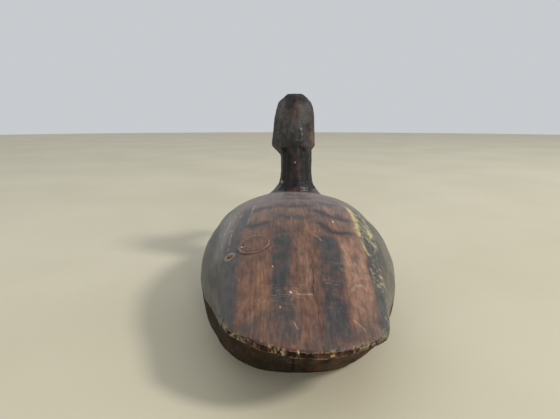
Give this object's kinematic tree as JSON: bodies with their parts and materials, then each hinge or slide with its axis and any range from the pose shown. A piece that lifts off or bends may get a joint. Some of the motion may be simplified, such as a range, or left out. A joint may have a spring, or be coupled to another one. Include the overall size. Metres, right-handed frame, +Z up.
{
  "type": "duck decoy",
  "caption": "Hollow carved wooden duck decoy with a broad flat tail, upright neck, blunt bill, flat ballasted bottom and an anchor-line ring.",
  "frame": {"origin": "on the surface it stands on, under the middle of its bounding box", "axes": "+Z up, the bill points along -Y and the tail along +Y, +X is the duck's left side"},
  "size_m": [0.1726, 0.38, 0.206],
  "materials": {
    "body_paint": "worn satin oil paint over hand-carved wood",
    "head_paint": "dark glossy worn oil paint over knife-cut wood",
    "bare_wood": "plain unpainted wood",
    "eye_glass": "dark amber glass, polished",
    "eye_putty": "hard linseed putty, painted over",
    "lead": "dull grey cast lead",
    "screw_steel": "dull steel",
    "rusty_iron": "rusty iron wire"
  },
  "bodies": {
    "decoy": {"back_nail": "screw_steel", "back_plug": "body_paint", "ballast_weight": "lead", "body_bottom": "body_paint", "body_screw_1": "screw_steel", "body_screw_2": "screw_steel", "body_screw_3": "screw_steel", "body_screw_4": "screw_steel", "body_top": "body_paint", "eye_left": "eye_glass", "eye_putty_left": "eye_putty", "eye_putty_right": "eye_putty", "eye_right": "eye_glass", "head": "head_paint", "line_eye": "rusty_iron", "neck_dowel": "bare_wood", "neck_screw": "screw_steel", "neck_washer": "screw_steel", "screw_plug_1": "bare_wood", "screw_plug_2": "bare_wood", "screw_plug_3": "bare_wood", "screw_plug_4": "bare_wood", "weight_screw_1": "screw_steel", "weight_screw_2": "screw_steel", "weight_screw_3": "screw_steel", "weight_screw_4": "screw_steel"},
    "anchor_ring": {"line_ring": "rusty_iron"}
  },
  "joints": [
    {"name": "line_ring_swing", "type": "hinge", "parent": "decoy", "child": "anchor_ring", "pos_m": [0, -0.15689, 0.02785], "axis": [1, 0, 0], "range_deg": [-150, 45]}
  ]
}
